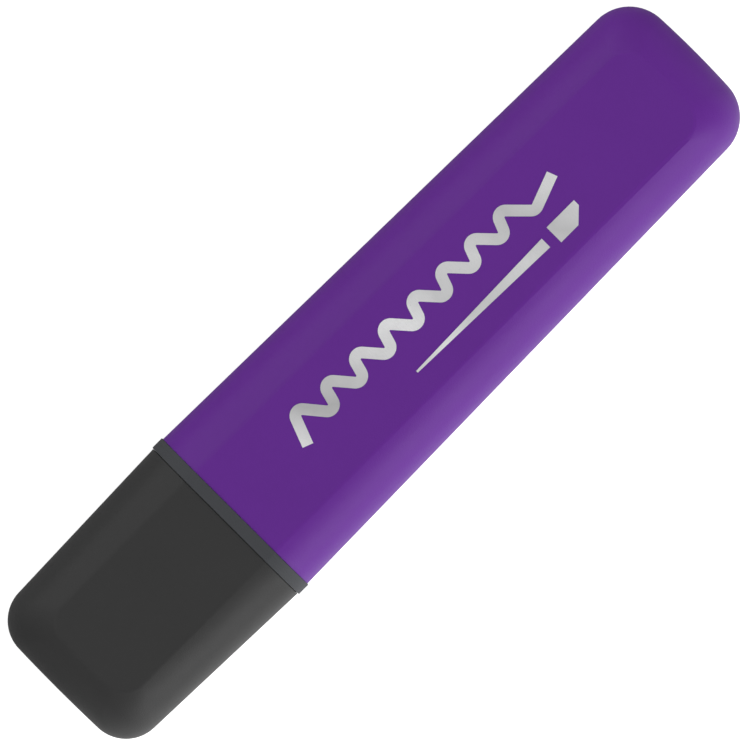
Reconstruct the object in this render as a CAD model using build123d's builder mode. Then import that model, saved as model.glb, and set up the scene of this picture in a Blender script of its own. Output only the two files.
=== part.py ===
from build123d import *

import os
from math import asin, radians, sin, sqrt, tan

# Flat chisel-tip highlighter, lying on its back, in millimetres.
#
# +X runs along the pen from the closed rear end to the writing tip, +Y across its width, and +Z out of its
# printed front face. The origin is below the middle of its bounding box, on the surface that it lies on.

# ---- Driving dimensions ----

pen_length = 112.0
cap_length = 29.45
collar_length = 1.68
cap_gap = 0.05  # shadow gap between the cap's rim and the collar

mouth_width = 25.4  # barrel and cap where they meet the collar
rear_width = 22.6
cap_end_width = 23.5
flat_width = 14.0  # the flat strip down the front and the back
thickness = 15.0
collar_proud = 0.19
collar_round = 0.06

barrel_wall = 1.4
cap_wall = 1.3
rear_corner = 5.7  # plan radius of the barrel's rear corners
cap_corner = 5.1
plateau_corner = 3.4  # the same where the flat strip ends
crease_round = 1.2  # blend between the flat strip and the bulging sides
rear_bevel = 5.1  # from the end of the flat strip to the rear end
cap_bevel = 4.6
rear_bow = 0.5  # how far the middle of an end stands past its corners
cap_bow = 0.28
loft_levels = 9  # plan outlines in a shell's loft, from back to front
rim_round = 0.05

plug_length = 9.0  # front section inside the barrel
plug_gap = 0.04
plug_wall = 1.3
snap_length = 9.0
bead_radius = 0.35
bead_setback = 3.0  # from the plug's rear edge
bead_gap = 0.05

spigot_length = 6.2  # front section inside the cap's rim
spigot_gap = 0.25
spigot_wall = 1.5
spigot_chamfer = 0.4
bump_height = 0.12  # snap bump on the spigot
ridge_height = 0.1  # snap ridge in the cap, which the bump clicks over
snap_radius = 0.6
bump_setback = 2.3  # from the spigot's front edge
snap_pitch = 0.9  # from the bump to the ridge behind it

neck_radius = 5.0
neck_length = 4.2  # the round part that the inner cap seals on
neck_bore = 3.9
cone_length = 3.6
lip_radius = 4.3
lip_round = 0.5

nib_width = 5.2
nib_thickness = 3.8
nib_showing = 6.0
nib_buried = 8.0  # inside the reservoir
nib_edge_round = 0.35
nib_tip_thickness = 1.6
nib_bevel_length = 6.4
nib_tip_slant = 28.0  # degrees that the writing edge leans from square
nib_gap = 0.03
holder_wall = 1.0
vent_width = 0.9  # air grooves beside the nib
vent_depth = 0.45

reservoir_width = 18.0
reservoir_thickness = 10.4
reservoir_length = 65.0
reservoir_setback = 0.8  # behind the plug
film_thickness = 0.15
film_gap = 0.01

rail_width = 0.9  # the barrel's inner rails, which centre the reservoir
rail_spacing = 6.4
rail_gap = 0.1
rear_rib_gap = 0.15

inner_cap_wall = 0.8
seal_gap = 0.04
tip_room = 5.8  # from the nib's tip to the inner cap's end
inner_cap_dome = 3.2
inner_cap_length = 20.0
cap_rib_width = 1.0
cap_rib_spacing = 5.0
cap_rib_length = 13.0
cap_rib_gap = 0.02

print_thickness = 0.04
scribble_start_x = 12.6  # a marker's scribble that calms down to a line
scribble_end_x = -32.6
scribble_middle_y = -1.8
scribble_stroke = 1.45
scribble_turns = 17
scribble_pitch = 2.5  # from one turn to the next
scribble_swing = 2.4  # of the first turn, from the middle
scribble_calming = 0.04  # less swing with each turn
scribble_lean = -0.7
scribble_round = 0.85
wedge_middle_y = 3.7  # a line that grows from thin to thick, as the nib draws it
wedge_start_x = -3.4
wedge_length = 22.6
wedge_thin = 0.3
wedge_thick = 1.5
mark_gap = 1.4  # from the wedge to the small sign of a chisel nib
mark_length = 3.0
mark_height = 2.6
mark_tip_length = 1.8

# ---- Stations along the pen, from the middle of its length ----

half_thickness = thickness / 2
half_flat = flat_width / 2
axis_height = half_thickness + collar_proud
front_z = axis_height + half_thickness
rear_x = -pen_length / 2
cap_end_x = pen_length / 2
cap_mouth_x = cap_end_x - cap_length
collar_front_x = cap_mouth_x - cap_gap
barrel_mouth_x = collar_front_x - collar_length
plug_rear_x = barrel_mouth_x - plug_length
spigot_front_x = collar_front_x + spigot_length
neck_front_x = spigot_front_x + neck_length
lip_x = neck_front_x + cone_length
nib_tip_x = lip_x + nib_showing
reservoir_front_x = plug_rear_x - reservoir_setback
reservoir_rear_x = reservoir_front_x - reservoir_length
nib_rear_x = reservoir_front_x - nib_buried
inner_cap_end_x = nib_tip_x + tip_room + inner_cap_wall
inner_cap_mouth_x = inner_cap_end_x - inner_cap_length
inner_cap_radius = neck_radius + seal_gap + inner_cap_wall

pen_axis = Axis((0, 0, axis_height), (1, 0, 0))
side_view = Plane((0, 0, axis_height), x_dir=(1, 0, 0), z_dir=(0, -1, 0))
front_face = Plane.XY.offset(front_z)

# The barrel and the cap are one family of shell, each from its mouth at the collar to its closed end.
barrel_shape = {
    "mouth": barrel_mouth_x,
    "end": rear_x,
    "half_mouth": mouth_width / 2,
    "half_end": rear_width / 2,
    "bevel": rear_bevel,
    "bow": rear_bow,
    "corner": rear_corner,
}
cap_shape = {
    "mouth": cap_mouth_x,
    "end": cap_end_x,
    "half_mouth": mouth_width / 2,
    "half_end": cap_end_width / 2,
    "bevel": cap_bevel,
    "bow": cap_bow,
    "corner": cap_corner,
}


def arc_radius(run):
    """Radius of the arc that leaves a shell's widest line upright and comes in by run at the flat face."""
    return (run**2 + half_thickness**2) / (2 * run)


def arc_inset(run, height, inset):
    """How far that arc, offset inwards by inset, has come in from the widest line at a height."""
    radius = arc_radius(run)
    return radius - sqrt((radius - inset) ** 2 - height**2)


def across(x):
    """Plane square to the pen at station x, centred on its axis: local x is +Y and local y is +Z."""
    return Plane((x, 0, axis_height), x_dir=(0, 1, 0), z_dir=(1, 0, 0))


def plan_outline(z, mouth, end, half_mouth, half_end, bow, corner):
    """Plan outline at one height: a straight mouth, tapered sides and a slightly bowed end."""
    way = 1 if end > mouth else -1
    shoulder = end - way * bow
    with BuildSketch(Plane.XY.offset(z)) as outline:
        with BuildLine():
            Line((mouth, -half_mouth), (shoulder, -half_end))
            ThreePointArc((shoulder, -half_end), (end, 0), (shoulder, half_end))
            Line((shoulder, half_end), (mouth, half_mouth))
            Line((mouth, half_mouth), (mouth, -half_mouth))
        make_face()
        fillet(outline.vertices().group_by(Axis.X)[-1 if way > 0 else 0], corner)
    return outline.sketch


def shell_outlines(shape, inset=0.0, past_mouth=1.0):
    """Plan outlines of a shell from back to front, offset inwards by inset and run on past its mouth."""
    way = 1 if shape["end"] > shape["mouth"] else -1
    run_mouth = shape["half_mouth"] - half_flat
    run_end = shape["half_end"] - half_flat
    steepest = asin(half_thickness / arc_radius(run_mouth))
    length = abs(shape["end"] - shape["mouth"])
    outlines = []
    for level in range(loft_levels):
        share = sin(steepest * (2 * level / (loft_levels - 1) - 1)) / sin(steepest)
        height = share * (half_thickness - inset)
        half_mouth = shape["half_mouth"] - arc_inset(run_mouth, height, inset)
        half_end = shape["half_end"] - arc_inset(run_end, height, inset)
        half_start = half_mouth + (half_mouth - half_end) * past_mouth / length
        corner = shape["corner"] + (plateau_corner - shape["corner"]) * share**2
        outlines.append(
            plan_outline(
                axis_height + height,
                shape["mouth"] - way * past_mouth,
                shape["end"] - way * arc_inset(shape["bevel"], height, inset),
                half_start,
                half_end,
                shape["bow"],
                corner - inset * (1 - share**2),
            )
        )
    return outlines


def cross_section(shape, x, inset):
    """Section of a shell at station x, with its flat faces and bulging sides moved inwards by inset."""
    taper = (shape["half_mouth"] - shape["half_end"]) / abs(shape["end"] - shape["mouth"])
    half_width = shape["half_mouth"] - taper * abs(x - shape["mouth"])
    height = half_thickness - inset
    flat = half_width - arc_inset(half_width - half_flat, height, inset)
    side = half_width - inset
    with BuildSketch(across(x)) as section:
        with BuildLine():
            Line((-flat, height), (flat, height))
            ThreePointArc((flat, height), (side, 0), (flat, -height))
            Line((flat, -height), (-flat, -height))
            ThreePointArc((-flat, -height), (-side, 0), (-flat, height))
        make_face()
        fillet(section.vertices(), crease_round)
    return section.sketch


def rectangle_across(x, width, height, corner):
    """Rounded rectangle square to the pen at station x."""
    with BuildSketch(across(x)) as section:
        RectangleRounded(width, height, corner)
    return section.sketch


def snap_places(x, height):
    """Places for a snap feature on the front and on the back, at a height from the pen's axis."""
    return [(x, 0, axis_height + height), (x, 0, axis_height - height)]


# ---- Barrel ----

bead_x = plug_rear_x + bead_setback
bead_height = half_thickness - barrel_wall - plug_gap

with BuildPart() as barrel_core:  # the barrel's inside, as the mould's core has it
    loft(shell_outlines(barrel_shape, barrel_wall, past_mouth=2.0))
    with Locations(*snap_places(bead_x, bead_height)):
        Cylinder(bead_radius + bead_gap, snap_length + 2 * bead_gap, rotation=(90, 0, 0))
    rail_start = reservoir_thickness / 2 + film_gap + film_thickness + rail_gap
    rail_depth = half_thickness - rail_start
    rail_x = (reservoir_rear_x + plug_rear_x - bead_setback) / 2
    rail_length = plug_rear_x - bead_setback - reservoir_rear_x
    for way in (1, -1):
        with Locations((rail_x, 0, axis_height + way * (rail_start + rail_depth / 2))):
            with GridLocations(1, rail_spacing, 1, 2):
                Box(rail_length, rail_width, rail_depth, mode=Mode.SUBTRACT)
    rear_rib_length = reservoir_rear_x - rear_rib_gap - rear_x
    with Locations((rear_x + rear_rib_length / 2, 0, axis_height)):
        with GridLocations(1, rail_spacing, 1, 2):
            Box(rear_rib_length, rail_width, thickness, mode=Mode.SUBTRACT)

with BuildPart() as barrel:
    loft(shell_outlines(barrel_shape))
    for side in (0, -1):  # the strips down the back and the front
        fillet(barrel.faces().sort_by(Axis.Z)[side].edges(), crease_round)
    add(barrel_core.part, mode=Mode.SUBTRACT)
    split(bisect_by=across(barrel_mouth_x), keep=Keep.BOTTOM)
    fillet(barrel.faces().sort_by(Axis.X)[-1].outer_wire().edges(), rim_round)

# ---- Front section: plug, collar, spigot and neck in one moulding ----

plug_inset = barrel_wall + plug_gap
spigot_inset = cap_wall + spigot_gap
holder_rear_x = plug_rear_x + 0.5

with BuildPart() as front_section:
    extrude(cross_section(barrel_shape, barrel_mouth_x, -collar_proud), amount=collar_length)
    fillet(front_section.faces().filter_by(Plane.YZ).edges(), collar_round)
    loft([cross_section(barrel_shape, x, plug_inset) for x in (plug_rear_x, barrel_mouth_x)], ruled=True)
    loft([cross_section(cap_shape, x, spigot_inset) for x in (collar_front_x, spigot_front_x)], ruled=True)
    chamfer(front_section.faces().sort_by(Axis.X)[-1].edges(), spigot_chamfer)
    chamfer(front_section.faces().sort_by(Axis.X)[0].edges(), spigot_chamfer)
    with BuildSketch(side_view):
        with BuildLine():
            Polyline(
                (spigot_front_x, 0),
                (spigot_front_x, neck_radius),
                (neck_front_x, neck_radius),
                (lip_x, lip_radius),
                (lip_x, 0),
                close=True,
            )
        make_face()
    revolve(axis=pen_axis)
    fillet(front_section.faces().sort_by(Axis.X)[-1].edges(), lip_round)
    # the inside, open to the rear
    loft(
        [cross_section(barrel_shape, x, plug_inset + plug_wall) for x in (plug_rear_x, barrel_mouth_x)],
        ruled=True,
        mode=Mode.SUBTRACT,
    )
    loft(
        [
            cross_section(cap_shape, x, spigot_inset + spigot_wall)
            for x in (barrel_mouth_x, spigot_front_x - spigot_wall)
        ],
        ruled=True,
        mode=Mode.SUBTRACT,
    )
    with BuildSketch(across(spigot_front_x - spigot_wall)):
        Circle(neck_bore)
    extrude(amount=spigot_wall + neck_length, mode=Mode.SUBTRACT)
    # the tube that holds the nib, and the nib's bore with its two air grooves
    holder = rectangle_across(
        holder_rear_x, nib_width + 2 * holder_wall, nib_thickness + 2 * holder_wall, holder_wall
    )
    extrude(holder, amount=lip_x - lip_round - holder_rear_x)
    bore_width = nib_width + 2 * nib_gap
    bore_thickness = nib_thickness + 2 * nib_gap
    bore = rectangle_across(plug_rear_x, bore_width, bore_thickness, nib_edge_round)
    extrude(bore, amount=lip_x - plug_rear_x + 1, mode=Mode.SUBTRACT)
    vents = rectangle_across(plug_rear_x, vent_width, bore_thickness + 2 * vent_depth, vent_width / 3)
    extrude(vents, amount=lip_x - plug_rear_x + 1, mode=Mode.SUBTRACT)
    with Locations(*snap_places(bead_x, bead_height)):
        Cylinder(bead_radius, snap_length, rotation=(90, 0, 0))
    bump_x = spigot_front_x - bump_setback
    bump_centre = half_thickness - spigot_inset + bump_height - snap_radius
    with Locations(*snap_places(bump_x, bump_centre)):
        Cylinder(snap_radius, snap_length, rotation=(90, 0, 0))

# ---- Nib ----

with BuildPart() as nib:
    tip_back = nib_tip_x - nib_width * tan(radians(nib_tip_slant))
    with BuildSketch(Plane.XY.offset(axis_height)):
        with BuildLine():
            Polyline(
                (nib_rear_x, -nib_width / 2),
                (tip_back, -nib_width / 2),
                (nib_tip_x, nib_width / 2),
                (nib_rear_x, nib_width / 2),
                close=True,
            )
        make_face()
    extrude(amount=nib_thickness / 2, both=True)
    with BuildSketch(side_view):
        with BuildLine():
            Polyline(
                (nib_rear_x, nib_thickness / 2),
                (nib_tip_x - nib_bevel_length, nib_thickness / 2),
                (nib_tip_x, nib_tip_thickness / 2),
                (nib_tip_x, -nib_tip_thickness / 2),
                (nib_tip_x - nib_bevel_length, -nib_thickness / 2),
                (nib_rear_x, -nib_thickness / 2),
                close=True,
            )
        make_face()
    extrude(amount=nib_width, both=True, mode=Mode.INTERSECT)
    fillet(nib.edges(), nib_edge_round)

# ---- Reservoir ----

with BuildPart() as reservoir_core:
    with BuildSketch(across(reservoir_rear_x)):
        SlotOverall(reservoir_width, reservoir_thickness)
    extrude(amount=reservoir_length)
    pocket = rectangle_across(nib_rear_x, nib_width, nib_thickness, nib_edge_round)
    extrude(pocket, amount=nib_buried + 1, mode=Mode.SUBTRACT)

with BuildPart() as reservoir_film:
    with BuildSketch(across(reservoir_rear_x)):
        inner = 2 * film_gap
        outer = inner + 2 * film_thickness
        SlotOverall(reservoir_width + outer, reservoir_thickness + outer)
        SlotOverall(reservoir_width + inner, reservoir_thickness + inner, mode=Mode.SUBTRACT)
    extrude(amount=reservoir_length)

# ---- Cap ----

with BuildPart() as cap_core:  # the cap's inside, as the mould's core has it
    loft(shell_outlines(cap_shape, cap_wall, past_mouth=2.0))
    ridge_x = bump_x - snap_pitch
    ridge_centre = half_thickness - cap_wall - ridge_height + snap_radius
    with Locations(*snap_places(ridge_x, ridge_centre)):
        Cylinder(snap_radius, snap_length, rotation=(90, 0, 0), mode=Mode.SUBTRACT)
    # ribs that hold the inner cap from both sides
    with BuildSketch(across(cap_end_x - cap_rib_length)) as ribs:
        with GridLocations(1, cap_rib_spacing, 1, 2):
            Rectangle(mouth_width, cap_rib_width)
        Circle(inner_cap_radius + cap_rib_gap, mode=Mode.SUBTRACT)
    extrude(ribs.sketch, amount=cap_rib_length, mode=Mode.SUBTRACT)

with BuildPart() as cap:
    loft(shell_outlines(cap_shape))
    for side in (0, -1):  # the strips down the back and the front
        fillet(cap.faces().sort_by(Axis.Z)[side].edges(), crease_round)
    add(cap_core.part, mode=Mode.SUBTRACT)
    split(bisect_by=across(cap_mouth_x), keep=Keep.TOP)
    fillet(cap.faces().sort_by(Axis.X)[0].outer_wire().edges(), rim_round)

# ---- Inner cap ----

with BuildPart() as inner_cap:
    with BuildSketch(side_view):
        with BuildLine():
            Polyline(
                (inner_cap_mouth_x, 0),
                (inner_cap_mouth_x, inner_cap_radius),
                (inner_cap_end_x, inner_cap_radius),
                (inner_cap_end_x, 0),
                close=True,
            )
        make_face()
    revolve(axis=pen_axis)
    fillet(inner_cap.faces().sort_by(Axis.X)[-1].edges(), inner_cap_dome)
    offset(amount=-inner_cap_wall, openings=inner_cap.faces().sort_by(Axis.X)[0])

# ---- Foil print on the front face ----

with BuildPart() as foil_print:
    with BuildSketch(front_face):
        scribble = [(scribble_start_x, scribble_middle_y + scribble_swing)]
        for turn in range(1, scribble_turns):
            swing = (scribble_swing - scribble_calming * turn) * (-1) ** turn
            turn_x = scribble_start_x - scribble_pitch * turn
            scribble.append((turn_x + scribble_lean * swing / scribble_swing, scribble_middle_y + swing))
        scribble.append((scribble_end_x, scribble_middle_y))
        with BuildLine():
            FilletPolyline(*scribble, radius=scribble_round)
        trace(line_width=scribble_stroke)
        wedge_end_x = wedge_start_x - wedge_length
        with BuildLine():
            Polyline(
                (wedge_start_x, wedge_middle_y + wedge_thin / 2),
                (wedge_end_x, wedge_middle_y + wedge_thick / 2),
                (wedge_end_x, wedge_middle_y - wedge_thick / 2),
                (wedge_start_x, wedge_middle_y - wedge_thin / 2),
                close=True,
            )
        make_face()
        mark_x = wedge_end_x - mark_gap
        mark_tip_x = mark_x - mark_length - mark_tip_length
        with BuildLine():
            Polyline(
                (mark_x, wedge_middle_y + mark_height / 2),
                (mark_x - mark_length, wedge_middle_y + mark_height / 2),
                (mark_tip_x, wedge_middle_y - mark_height / 6),
                (mark_tip_x, wedge_middle_y - mark_height / 2),
                (mark_x, wedge_middle_y - mark_height / 2),
                close=True,
            )
        make_face()
    extrude(amount=print_thickness)

# ---- Finished pieces ----

os.makedirs("parts", exist_ok=True)
pieces = {
    "barrel": barrel,
    "front_section": front_section,
    "nib": nib,
    "reservoir_core": reservoir_core,
    "reservoir_film": reservoir_film,
    "cap": cap,
    "inner_cap": inner_cap,
    "foil_print": foil_print,
}
for name, piece in pieces.items():
    piece.part.label = name
    export_step(piece.part, f"parts/{name}.step")
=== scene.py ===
import math

import bpy
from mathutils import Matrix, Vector


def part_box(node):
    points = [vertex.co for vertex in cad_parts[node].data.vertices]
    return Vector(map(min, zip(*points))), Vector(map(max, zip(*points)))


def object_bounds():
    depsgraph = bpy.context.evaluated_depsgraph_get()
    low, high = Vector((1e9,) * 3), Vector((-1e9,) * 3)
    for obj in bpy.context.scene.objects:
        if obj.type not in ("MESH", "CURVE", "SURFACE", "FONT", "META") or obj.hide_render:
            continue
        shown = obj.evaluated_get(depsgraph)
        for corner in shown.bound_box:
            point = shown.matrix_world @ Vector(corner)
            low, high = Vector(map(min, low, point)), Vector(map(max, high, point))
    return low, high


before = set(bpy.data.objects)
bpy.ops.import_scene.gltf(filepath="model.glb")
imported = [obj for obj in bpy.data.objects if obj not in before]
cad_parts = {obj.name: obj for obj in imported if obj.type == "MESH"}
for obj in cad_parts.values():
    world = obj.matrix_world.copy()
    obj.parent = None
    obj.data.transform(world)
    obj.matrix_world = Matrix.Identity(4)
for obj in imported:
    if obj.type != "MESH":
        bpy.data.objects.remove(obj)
cad_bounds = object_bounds()

# ---- Picture and light, with lengths in metres ----

MM = 0.001
PICTURE_WIDTH = 93.2 * MM  # across the picture, at the height of the pen's axis
PICTURE_OFFSET = Vector((0.55 * MM, 0.3 * MM, 0))  # of the picture's middle from the pen's
FOCAL_LENGTH = 1000.0
SENSOR_WIDTH = 36.0
CLIP_START = 10 * MM
ROLL = math.radians(135)  # lays the pen on the picture's diagonal, with its cap at the lower left

GLOWS = (  # azimuth and elevation of each glow's middle, in degrees, and its strength
    (90, 5, 4.7),
    (-90, 5, 1.4),
    (-90, 55, 1.7),
    (0, 12, 0.1),
    (180, 12, 0.34),
)
GLOW_FALLOFF = 8.0  # a glow fades with this power of the cosine from its middle
AMBIENT = 0.265  # strength of the light from all round
BACKDROP = 1.0  # seen by the camera alone

FLOOR_SIDE = 3.0
FLOOR_ALBEDO = 0.35
FLOOR_ROUGHNESS = 0.9
PAPER_GLOW = 0.86  # seen by the camera alone, so that white paper doesn't whiten the pen's flanks
SIDE_GLOW = 1.2  # of the paper on the +Y side, which stands nearer to the light
SIDE_GLOW_REACH = 30 * MM  # from the pen's axis to where that glow is full

# ---- Colours, in linear light ----

VIOLET = (0.136, 0.0255, 0.3)
CHARCOAL = (0.042, 0.042, 0.042)
SLATE = (0.068, 0.071, 0.077)
MILK = (0.78, 0.77, 0.74)
INK = (0.16, 0.02, 0.33)
SILVER = (0.97, 0.97, 0.98)
WHITE = (1, 1, 1)
FOIL_SHEEN_BANDS = (0.85, 0.62, 0.82, 0.7, 0.96, 0.74, 0.5, 0.9)  # painted reflection: brightness of the foil's sheen bands, from the print's rear to its front

# ---- Finishes ----

SHELL_ROUGHNESS = 0.4
SHELL_GLOSS = 0.13  # specular level of the barrel and the cap
SECTION_ROUGHNESS = 0.45
SECTION_GLOSS = 0.06
FILM_ROUGHNESS = 0.35
INNER_CAP_ROUGHNESS = 0.45

POLYPROPYLENE_IOR = 1.49
POLYETHYLENE_IOR = 1.51

# Moulded plastic: each pattern's size across, and its height in the relief.
SINK_WAVE_MM = 14.0
SINK_WAVE_HEIGHT_MM = 0.05
SINK_WAVE_SHADES = (0.97, 1, 1.03)
CLOUD_MM = 2.5
CLOUD_SHADES = (0.985, 1, 1.015)
CLOUD_ROUGHNESS = 0.03  # more or less than the plastic's own
GRAIN_MM = 0.18
GRAIN_HEIGHT_MM = 0.025
SCRATCH_MM = 0.07
SCRATCH_STRETCH = 90  # its length over its width
SCRATCH_PATCH_MM = 7.0
SCRATCH_HEIGHT_MM = -0.004
SCRATCH_TURNS = (24, -61)  # degrees from the pen's length
SCRATCH_SHADE = 1.5
SCRATCH_TINT = 0.12  # how much of that shade a scratch shows
SCRATCH_POLISH = 0.08  # taken from the roughness

WAX_SHADES = (0.94, 1, 1.04)
WAX_ROUGHNESS = 0.06  # more or less than the milky plastic's own
WAX_GLOW_DEPTH = 0.8 * MM
WAX_GLOW_SHARE = 0.35

FOIL_METAL = 0.25
FOIL_LEAN = 0.6  # of the painted sheen bands, in metres along the pen for each metre across it
FOIL_WOBBLE = 1.5 * MM
FOIL_GRAIN_SHADE = 0.6
FOIL_PIT_SHADE = 0.5

# Sockets of a Mix node for colours. Several of its sockets share one name, so these go by number.
MIX_BELOW = 6
MIX_ABOVE = 7
MIX_RESULT = 2

low, high = cad_bounds
CENTRE = 0.5 * (low + high)
foil_low, foil_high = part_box("foil_print")


# ---- Camera and light ----


def make_camera():
    """Looks straight down on the front face, from far enough away to be nearly without perspective."""
    data = bpy.data.cameras.new("camera")
    data.lens = FOCAL_LENGTH
    data.sensor_width = SENSOR_WIDTH
    data.clip_start = CLIP_START
    camera = bpy.data.objects.new("camera", data)
    distance = PICTURE_WIDTH * FOCAL_LENGTH / SENSOR_WIDTH
    camera.location = CENTRE + PICTURE_OFFSET + Vector((0, 0, distance))
    camera.rotation_euler = (0, 0, ROLL)
    bpy.context.scene.collection.objects.link(camera)
    bpy.context.scene.camera = camera


def direction(azimuth, elevation):
    """Unit vector; azimuth 0 is +X and 90 is +Y, in degrees."""
    around, up = math.radians(azimuth), math.radians(elevation)
    return Vector((math.cos(around) * math.cos(up), math.sin(around) * math.cos(up), math.sin(up)))


def make_world():
    """Soft studio light: wide glows round the horizon, and a plain backdrop for the camera."""
    world = bpy.data.worlds.new("studio")
    world.use_nodes = True
    tree = world.node_tree
    background = tree.nodes["Background"]
    background.inputs["Color"].default_value = (*WHITE, 1)
    where = tree.nodes.new("ShaderNodeTexCoord")
    total = AMBIENT
    for azimuth, elevation, strength in GLOWS:
        towards = tree.nodes.new("ShaderNodeVectorMath")
        towards.operation = "DOT_PRODUCT"
        towards.inputs[1].default_value = direction(azimuth, elevation)
        tree.links.new(where.outputs["Generated"], towards.inputs[0])
        facing = math_node(tree, "MAXIMUM", towards.outputs["Value"], 0.0)
        spread = math_node(tree, "POWER", facing, GLOW_FALLOFF)
        glow = math_node(tree, "MULTIPLY", spread, strength)
        total = math_node(tree, "ADD", total, glow)
    path = tree.nodes.new("ShaderNodeLightPath")
    seen = tree.nodes.new("ShaderNodeMix")
    tree.links.new(path.outputs["Is Camera Ray"], seen.inputs["Factor"])
    tree.links.new(total, seen.inputs["A"])
    seen.inputs["B"].default_value = BACKDROP
    tree.links.new(seen.outputs["Result"], background.inputs["Strength"])
    bpy.context.scene.world = world


def make_floor():
    """Plain white paper. Its +Y side glows, as the side nearer to the light."""
    half = FLOOR_SIDE / 2
    corners = [(-half, -half, 0), (half, -half, 0), (half, half, 0), (-half, half, 0)]
    mesh = bpy.data.meshes.new("floor")
    mesh.from_pydata(corners, [], [(0, 1, 2, 3)])
    floor = bpy.data.objects.new("floor", mesh)
    material, tree, shader = new_material("floor_paper")
    shader.inputs["Base Color"].default_value = (*shaded(WHITE, FLOOR_ALBEDO), 1)
    shader.inputs["Roughness"].default_value = FLOOR_ROUGHNESS
    shader.inputs["Specular IOR Level"].default_value = 0.0
    shader.inputs["Emission Color"].default_value = (*WHITE, 1)
    path = tree.nodes.new("ShaderNodeLightPath")
    shown = math_node(tree, "MULTIPLY", path.outputs["Is Camera Ray"], PAPER_GLOW)
    lit = mapped(tree, object_axis(tree, "Y"), 0.0, SIDE_GLOW, in_low=0.0, in_high=SIDE_GLOW_REACH)
    glow = math_node(tree, "ADD", shown, lit)
    tree.links.new(glow, shader.inputs["Emission Strength"])
    mesh.materials.append(material)
    bpy.context.scene.collection.objects.link(floor)


# ---- Node kit ----


def new_material(name):
    material = bpy.data.materials.new(name)
    material.use_nodes = True
    tree = material.node_tree
    return material, tree, tree.nodes["Principled BSDF"]


def math_node(tree, operation, first, second):
    """Output of a Math node; each input is a number or another node's output."""
    node = tree.nodes.new("ShaderNodeMath")
    node.operation = operation
    for socket, value in zip(node.inputs, (first, second)):
        if isinstance(value, (int, float)):
            socket.default_value = value
        else:
            tree.links.new(value, socket)
    return node.outputs["Value"]


def object_axis(tree, axis):
    """One of the piece's own coordinates, in metres."""
    where = tree.nodes.new("ShaderNodeTexCoord")
    split = tree.nodes.new("ShaderNodeSeparateXYZ")
    tree.links.new(where.outputs["Object"], split.inputs["Vector"])
    return split.outputs[axis]


def noise(tree, cell_mm, detail=2.0, stretch=(1, 1, 1), turn=0.0, distortion=0.0):
    """Noise with cells about cell_mm across, drawn out along X, Y and Z by stretch and turned about Z."""
    where = tree.nodes.new("ShaderNodeTexCoord")
    mapping = tree.nodes.new("ShaderNodeMapping")
    mapping.inputs["Rotation"].default_value = (0, 0, math.radians(turn))
    mapping.inputs["Scale"].default_value = [1 / (cell_mm * MM * part) for part in stretch]
    texture = tree.nodes.new("ShaderNodeTexNoise")
    texture.inputs["Scale"].default_value = 1.0
    texture.inputs["Detail"].default_value = detail
    texture.inputs["Distortion"].default_value = distortion
    tree.links.new(where.outputs["Object"], mapping.inputs["Vector"])
    tree.links.new(mapping.outputs["Vector"], texture.inputs["Vector"])
    return texture.outputs["Fac"]


def mapped(tree, source, out_low, out_high, in_low=0.3, in_high=0.7):
    """source, carried from in_low..in_high to out_low..out_high and held at the ends."""
    node = tree.nodes.new("ShaderNodeMapRange")
    node.inputs["From Min"].default_value = in_low
    node.inputs["From Max"].default_value = in_high
    node.inputs["To Min"].default_value = out_low
    node.inputs["To Max"].default_value = out_high
    tree.links.new(source, node.inputs["Value"])
    return node.outputs["Result"]


def shaded(colour, factor):
    """colour, darker or lighter by a factor."""
    return tuple(min(part * factor, 1.0) for part in colour)


def shades(colour, factors):
    """colour, darker or lighter by each of several factors."""
    return [shaded(colour, factor) for factor in factors]


def ramp(tree, source, colours, start=0.3, end=0.7):
    """Evenly spaced colours between start and end of source."""
    node = tree.nodes.new("ShaderNodeValToRGB")
    stops = node.color_ramp.elements
    while len(stops) < len(colours):
        stops.new(0.5)
    for index, colour in enumerate(colours):
        stops[index].position = start + (end - start) * index / (len(colours) - 1)
        stops[index].color = (*colour, 1)
    tree.links.new(source, node.inputs["Fac"])
    return node.outputs["Color"]


def blended(tree, factor, below, above):
    """below where factor is 0, and above where it is 1; each is a colour or an output."""
    node = tree.nodes.new("ShaderNodeMix")
    node.data_type = "RGBA"
    tree.links.new(factor, node.inputs["Factor"])
    for number, value in ((MIX_BELOW, below), (MIX_ABOVE, above)):
        if isinstance(value, tuple):
            node.inputs[number].default_value = (*value, 1)
        else:
            tree.links.new(value, node.inputs[number])
    return node.outputs[MIX_RESULT]


def bumped(tree, shader, layers):
    """Stacks bump layers, each (height source, height in mm), and gives the last to the shader."""
    normal = None
    for source, height_mm in layers:
        node = tree.nodes.new("ShaderNodeBump")
        node.inputs["Distance"].default_value = height_mm * MM
        tree.links.new(source, node.inputs["Height"])
        if normal:
            tree.links.new(normal, node.inputs["Normal"])
        normal = node.outputs["Normal"]
    tree.links.new(normal, shader.inputs["Normal"])


def scratches(tree, turn):
    """Sparse hairline scratches in one direction, as 0 to 1."""
    lines = noise(tree, SCRATCH_MM, detail=1, stretch=(SCRATCH_STRETCH, 1, 1), turn=turn)
    patches = noise(tree, SCRATCH_PATCH_MM, detail=2, turn=turn)
    fine = mapped(tree, lines, 0.0, 1.0, in_low=0.70, in_high=0.78)
    where = mapped(tree, patches, 0.0, 1.0, in_low=0.50, in_high=0.66)
    return math_node(tree, "MULTIPLY", fine, where)


# ---- Materials ----


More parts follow.
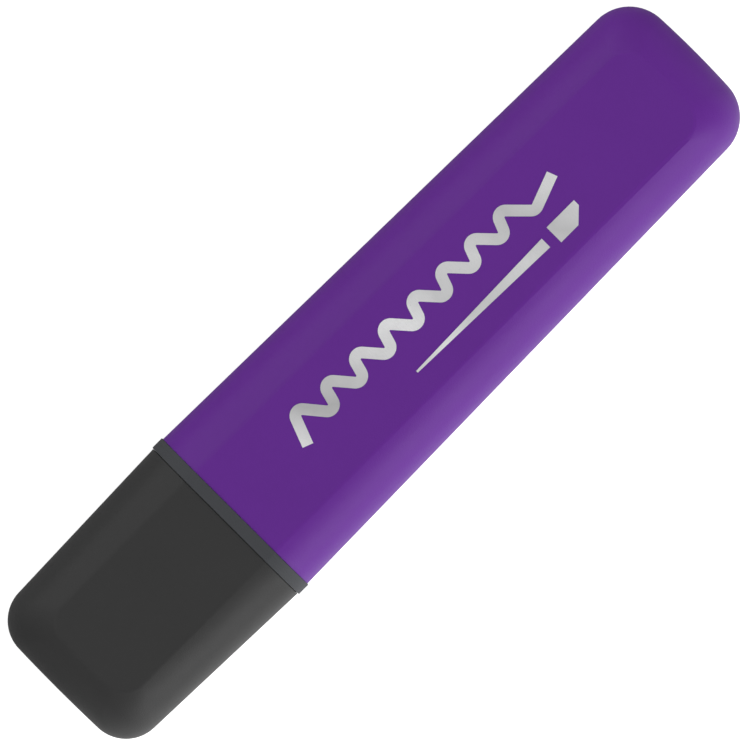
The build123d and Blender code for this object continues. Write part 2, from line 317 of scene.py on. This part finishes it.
def moulded_plastic(name, colour, roughness, gloss):
    """Satin injection-moulded plastic: spark-eroded grain, slow sink waves, and hairline wear."""
    material, tree, shader = new_material(name)
    slow = noise(tree, SINK_WAVE_MM, detail=3)
    cloud = noise(tree, CLOUD_MM, detail=4)
    grain = noise(tree, GRAIN_MM, detail=2)
    worn = math_node(tree, "MAXIMUM", *(scratches(tree, turn) for turn in SCRATCH_TURNS))
    body = ramp(tree, slow, shades(colour, SINK_WAVE_SHADES))
    flecked = ramp(tree, cloud, shades(colour, CLOUD_SHADES))
    mottled = blended(tree, mapped(tree, cloud, out_low=0.2, out_high=0.6), body, flecked)
    wear = math_node(tree, "MULTIPLY", worn, SCRATCH_TINT)
    surface = blended(tree, wear, mottled, shaded(colour, SCRATCH_SHADE))
    tree.links.new(surface, shader.inputs["Base Color"])
    base = mapped(tree, cloud, roughness - CLOUD_ROUGHNESS, roughness + CLOUD_ROUGHNESS)
    rubbed = math_node(tree, "SUBTRACT", base, math_node(tree, "MULTIPLY", worn, SCRATCH_POLISH))
    tree.links.new(rubbed, shader.inputs["Roughness"])
    shader.inputs["IOR"].default_value = POLYPROPYLENE_IOR
    shader.inputs["Specular IOR Level"].default_value = gloss
    relief = [(slow, SINK_WAVE_HEIGHT_MM), (grain, GRAIN_HEIGHT_MM), (worn, SCRATCH_HEIGHT_MM)]
    bumped(tree, shader, relief)
    return material


def felt(name, colour):
    """Bonded fibres along the nib, soaked with ink: lighter on the raised fibres, darker between them."""
    material, tree, shader = new_material(name)
    fibres = noise(tree, cell_mm=0.09, detail=3, stretch=(8, 1, 1), distortion=0.6)
    crossing = noise(tree, cell_mm=0.08, detail=2, stretch=(4, 1, 1), turn=17)
    soak = noise(tree, cell_mm=1.8, detail=3)
    threads = math_node(tree, "MULTIPLY", math_node(tree, "ADD", fibres, crossing), 0.5)
    # Lighter where the fibres stand high in the bump, darker where they sink between them.
    fibre_relief_tones = ramp(tree, threads, shades(colour, (0.3, 1, 2.0)), start=0.4, end=0.6)
    wet = ramp(tree, soak, shades(colour, (0.7, 1.15)))
    wetness = mapped(tree, soak, out_low=0.1, out_high=0.4)
    tree.links.new(blended(tree, wetness, fibre_relief_tones, wet), shader.inputs["Base Color"])
    tree.links.new(mapped(tree, soak, out_low=0.55, out_high=0.85), shader.inputs["Roughness"])
    shader.inputs["Sheen Weight"].default_value = 0.25
    shader.inputs["Sheen Roughness"].default_value = 0.5
    bumped(tree, shader, [(soak, 0.03), (threads, 0.05)])
    return material


def fibre_bundle(name, colour):
    """Crimped polyester fibres along the reservoir, stained by the ink."""
    material, tree, shader = new_material(name)
    strands = noise(tree, cell_mm=0.12, detail=3, stretch=(14, 1, 1), distortion=0.9)
    stain = noise(tree, cell_mm=6.0, detail=3, stretch=(2, 1, 1))
    threads = ramp(tree, strands, shades(colour, (0.6, 1, 1.9)), start=0.35, end=0.65)
    soaked = ramp(tree, stain, shades(colour, (0.75, 1.25)))
    wetness = mapped(tree, stain, out_low=0.3, out_high=0.6)
    tree.links.new(blended(tree, wetness, threads, soaked), shader.inputs["Base Color"])
    tree.links.new(mapped(tree, strands, out_low=0.6, out_high=0.9), shader.inputs["Roughness"])
    shader.inputs["Sheen Weight"].default_value = 0.3
    bumped(tree, shader, [(strands, 0.08)])
    return material


def milky_plastic(name, colour, roughness):
    """Soft uncoloured polyethylene: waxy, a little cloudy, and lit from within."""
    material, tree, shader = new_material(name)
    cloud = noise(tree, cell_mm=3.0, detail=4)
    grain = noise(tree, cell_mm=0.2, detail=2)
    body = ramp(tree, cloud, shades(colour, WAX_SHADES))
    tree.links.new(body, shader.inputs["Base Color"])
    waxy = mapped(tree, cloud, roughness - WAX_ROUGHNESS, roughness + WAX_ROUGHNESS)
    tree.links.new(waxy, shader.inputs["Roughness"])
    shader.inputs["Subsurface Weight"].default_value = WAX_GLOW_SHARE
    shader.inputs["Subsurface Scale"].default_value = WAX_GLOW_DEPTH
    shader.inputs["IOR"].default_value = POLYETHYLENE_IOR
    bumped(tree, shader, [(cloud, 0.02), (grain, 0.002)])
    return material


def stamped_foil(name, colour):
    """Hot-stamped silver foil: slow light and dark bands of painted sheen along the pen, pinholes and a
    faint grain.
    """
    material, tree, shader = new_material(name)
    lean = math_node(tree, "MULTIPLY", object_axis(tree, "Y"), FOIL_LEAN)
    wobble = mapped(tree, noise(tree, cell_mm=5.0), -FOIL_WOBBLE, FOIL_WOBBLE)
    along = math_node(tree, "ADD", math_node(tree, "ADD", object_axis(tree, "X"), lean), wobble)
    place = mapped(tree, along, 0.0, 1.0, in_low=foil_low.x, in_high=foil_high.x)
    brushed = noise(tree, cell_mm=0.05, detail=2, stretch=(1, 8, 1))
    pits = mapped(tree, noise(tree, cell_mm=0.12, detail=1), 0.0, 1.0, in_low=0.72, in_high=0.78)
    # Painted reflection: light and dark sheen bands laid along the foil's colour.
    bands = ramp(tree, place, shades(colour, FOIL_SHEEN_BANDS), start=0.0, end=1.0)
    grain = mapped(tree, brushed, out_low=0.0, out_high=0.25)
    grained = blended(tree, grain, bands, shaded(colour, FOIL_GRAIN_SHADE))
    surface = blended(tree, pits, grained, shaded(colour, FOIL_PIT_SHADE))
    tree.links.new(surface, shader.inputs["Base Color"])
    tree.links.new(mapped(tree, brushed, out_low=0.36, out_high=0.5), shader.inputs["Roughness"])
    shader.inputs["Metallic"].default_value = FOIL_METAL
    bumped(tree, shader, [(brushed, 0.001), (pits, -0.002)])
    return material


def paint(node, material):
    """Gives a CAD node its material."""
    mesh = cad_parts[node].data
    mesh.materials.clear()
    mesh.materials.append(material)


# ---- Scene ----

make_camera()
make_world()
make_floor()

paint("barrel", moulded_plastic("violet_plastic", VIOLET, SHELL_ROUGHNESS, SHELL_GLOSS))
paint("cap", moulded_plastic("charcoal_plastic", CHARCOAL, SHELL_ROUGHNESS, SHELL_GLOSS))
paint("front_section", moulded_plastic("slate_plastic", SLATE, SECTION_ROUGHNESS, SECTION_GLOSS))
paint("nib", felt("nib_felt", INK))
paint("reservoir_core", fibre_bundle("reservoir_fibre", INK))
paint("reservoir_film", milky_plastic("reservoir_film", MILK, FILM_ROUGHNESS))
paint("inner_cap", milky_plastic("inner_cap_plastic", MILK, INNER_CAP_ROUGHNESS))
paint("foil_print", stamped_foil("print_foil", SILVER))

bpy.context.scene.view_settings.view_transform = "Standard"
